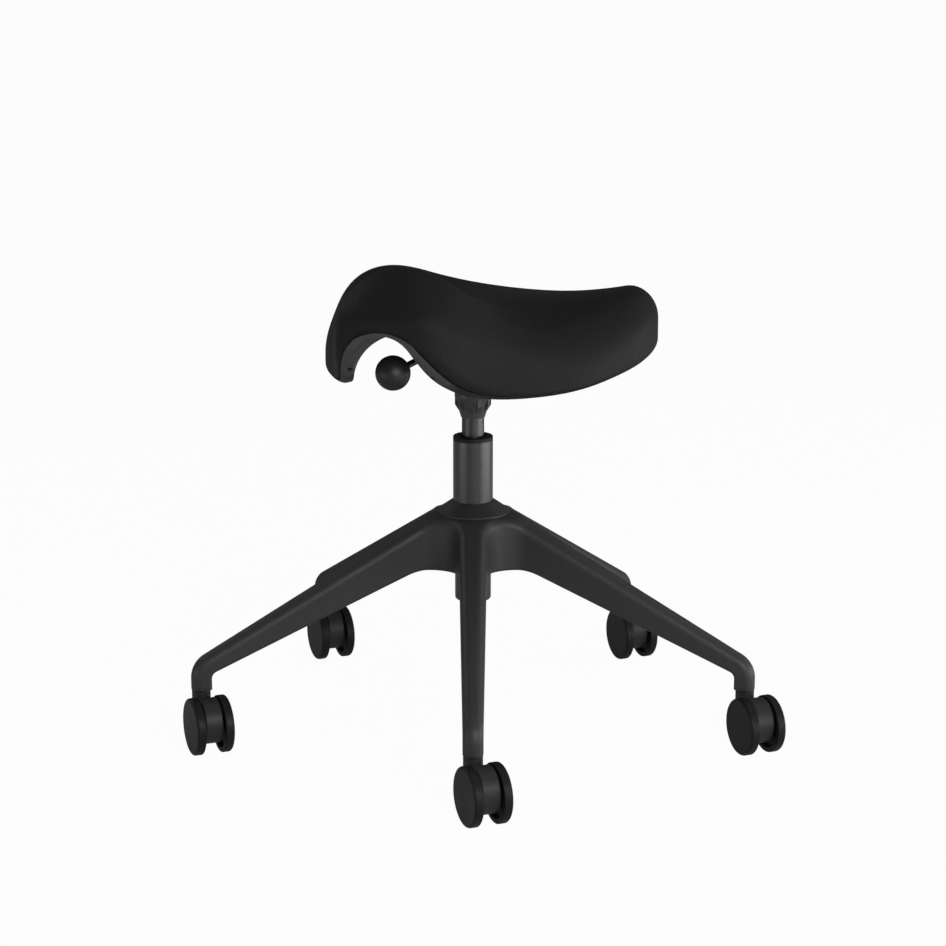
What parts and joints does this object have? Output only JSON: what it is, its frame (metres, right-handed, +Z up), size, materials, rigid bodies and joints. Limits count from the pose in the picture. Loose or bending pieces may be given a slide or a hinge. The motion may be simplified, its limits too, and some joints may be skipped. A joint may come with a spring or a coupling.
{
  "type": "saddle stool",
  "caption": "Height-adjustable saddle stool: moulded saddle seat with a ball-ended release lever on a gas lift column, an angled star base and twin-wheel swivel casters.",
  "frame": {"origin": "on the floor, on the column axis", "axes": "+Z up along the column, -Y toward the saddle's raised front, X across the saddle"},
  "size_m": [0.7499, 0.7348, 0.6019],
  "materials": {
    "base": "satin",
    "column": "satin",
    "cylinder": "satin",
    "bracket": "matte",
    "cushion": "matte",
    "pan": "matte",
    "lever": "satin",
    "knob": "satin",
    "wheel": "matte",
    "black_plastic": "satin",
    "steel": "satin",
    "brass": "satin",
    "rubber": "matte"
  },
  "bodies": {
    "base": {"base_casting": "base", "column_tube": "column", "column_cover": "black_plastic", "guide_bush": "black_plastic", "thrust_race_lower": "steel", "thrust_balls": "steel", "ball_cage": "brass", "stem_grip_rings": "steel", "caster_1_stem": "steel", "caster_2_stem": "steel", "caster_3_stem": "steel", "caster_4_stem": "steel", "caster_5_stem": "steel"},
    "rod": {"piston_rod": "steel", "piston": "black_plastic", "thrust_race_upper": "steel", "rubber_buffer": "rubber", "rod_clip": "steel"},
    "seat": {"gas_cylinder": "cylinder", "rod_gland": "brass", "valve_block": "brass", "seat_bracket": "bracket", "lever_pin": "steel", "seat_pan": "pan", "seat_cushion": "cushion", "pan_inserts": "brass", "bracket_screws": "steel"},
    "lever": {"lever_arm": "lever", "lever_ball": "knob"},
    "release_pin": {"release_pin": "steel"},
    "caster_1": {"caster_1_body": "black_plastic", "caster_1_axle": "steel"},
    "wheel_1_left": {"caster_1_wheel_left": "wheel"},
    "wheel_1_right": {"caster_1_wheel_right": "wheel"},
    "caster_2": {"caster_2_body": "black_plastic", "caster_2_axle": "steel"},
    "wheel_2_left": {"caster_2_wheel_left": "wheel"},
    "wheel_2_right": {"caster_2_wheel_right": "wheel"},
    "caster_3": {"caster_3_body": "black_plastic", "caster_3_axle": "steel"},
    "wheel_3_left": {"caster_3_wheel_left": "wheel"},
    "wheel_3_right": {"caster_3_wheel_right": "wheel"},
    "caster_4": {"caster_4_body": "black_plastic", "caster_4_axle": "steel"},
    "wheel_4_left": {"caster_4_wheel_left": "wheel"},
    "wheel_4_right": {"caster_4_wheel_right": "wheel"},
    "caster_5": {"caster_5_body": "black_plastic", "caster_5_axle": "steel"},
    "wheel_5_left": {"caster_5_wheel_left": "wheel"},
    "wheel_5_right": {"caster_5_wheel_right": "wheel"}
  },
  "joints": [
    {"name": "seat_swivel", "type": "hinge", "parent": "base", "child": "rod", "pos_m": [0, 0, 0.1649], "axis": [0, 0, 1], "continuous": true},
    {"name": "height_slide", "type": "slide", "parent": "rod", "child": "seat", "axis": [0, 0, 1], "range_m": [-0.015, 0.095]},
    {"name": "lever_pivot", "type": "hinge", "parent": "seat", "child": "lever", "pos_m": [0, -0.03, 0.4963], "axis": [-1, 0, 0], "range_deg": [0, 4], "stiffness_Nm_per_rad": 2},
    {"name": "pin_press", "type": "slide", "parent": "seat", "child": "release_pin", "axis": [0, 0, -1], "range_m": [0, 0.0024]},
    {"name": "caster_1_swivel", "type": "hinge", "parent": "base", "child": "caster_1", "pos_m": [0.0369, 0.35107, 0.06], "axis": [0, 0, 1], "continuous": true},
    {"name": "wheel_1_left_roll", "type": "hinge", "parent": "caster_1", "child": "wheel_1_left", "pos_m": [0.06093, 0.33229, 0.0353], "axis": [0.6157, 0.788, 0], "continuous": true},
    {"name": "wheel_1_right_roll", "type": "hinge", "parent": "caster_1", "child": "wheel_1_right", "pos_m": [0.06093, 0.33229, 0.0353], "axis": [0.6157, 0.788, 0], "continuous": true},
    {"name": "caster_2_swivel", "type": "hinge", "parent": "base", "child": "caster_2", "pos_m": [-0.32248, 0.14358, 0.06], "axis": [0, 0, 1], "continuous": true},
    {"name": "wheel_2_left_roll", "type": "hinge", "parent": "caster_2", "child": "wheel_2_left", "pos_m": [-0.29845, 0.1248, 0.0353], "axis": [0.6157, 0.788, 0], "continuous": true},
    {"name": "wheel_2_right_roll", "type": "hinge", "parent": "caster_2", "child": "wheel_2_right", "pos_m": [-0.29845, 0.1248, 0.0353], "axis": [0.6157, 0.788, 0], "continuous": true},
    {"name": "caster_3_swivel", "type": "hinge", "parent": "base", "child": "caster_3", "pos_m": [-0.2362, -0.26233, 0.06], "axis": [0, 0, 1], "continuous": true},
    {"name": "wheel_3_left_roll", "type": "hinge", "parent": "caster_3", "child": "wheel_3_left", "pos_m": [-0.21217, -0.28111, 0.0353], "axis": [0.6157, 0.788, 0], "continuous": true},
    {"name": "wheel_3_right_roll", "type": "hinge", "parent": "caster_3", "child": "wheel_3_right", "pos_m": [-0.21217, -0.28111, 0.0353], "axis": [0.6157, 0.788, 0], "continuous": true},
    {"name": "caster_4_swivel", "type": "hinge", "parent": "base", "child": "caster_4", "pos_m": [0.1765, -0.30571, 0.06], "axis": [0, 0, 1], "continuous": true},
    {"name": "wheel_4_left_roll", "type": "hinge", "parent": "caster_4", "child": "wheel_4_left", "pos_m": [0.20053, -0.32448, 0.0353], "axis": [0.6157, 0.788, 0], "continuous": true},
    {"name": "wheel_4_right_roll", "type": "hinge", "parent": "caster_4", "child": "wheel_4_right", "pos_m": [0.20053, -0.32448, 0.0353], "axis": [0.6157, 0.788, 0], "continuous": true},
    {"name": "caster_5_swivel", "type": "hinge", "parent": "base", "child": "caster_5", "pos_m": [0.34529, 0.07339, 0.06], "axis": [0, 0, 1], "continuous": true},
    {"name": "wheel_5_left_roll", "type": "hinge", "parent": "caster_5", "child": "wheel_5_left", "pos_m": [0.36932, 0.05462, 0.0353], "axis": [0.6157, 0.788, 0], "continuous": true},
    {"name": "wheel_5_right_roll", "type": "hinge", "parent": "caster_5", "child": "wheel_5_right", "pos_m": [0.36932, 0.05462, 0.0353], "axis": [0.6157, 0.788, 0], "continuous": true}
  ],
  "couplings": [
    {"joint": "pin_press", "follows": "lever_pivot", "m_per_rad": 0.034}
  ]
}
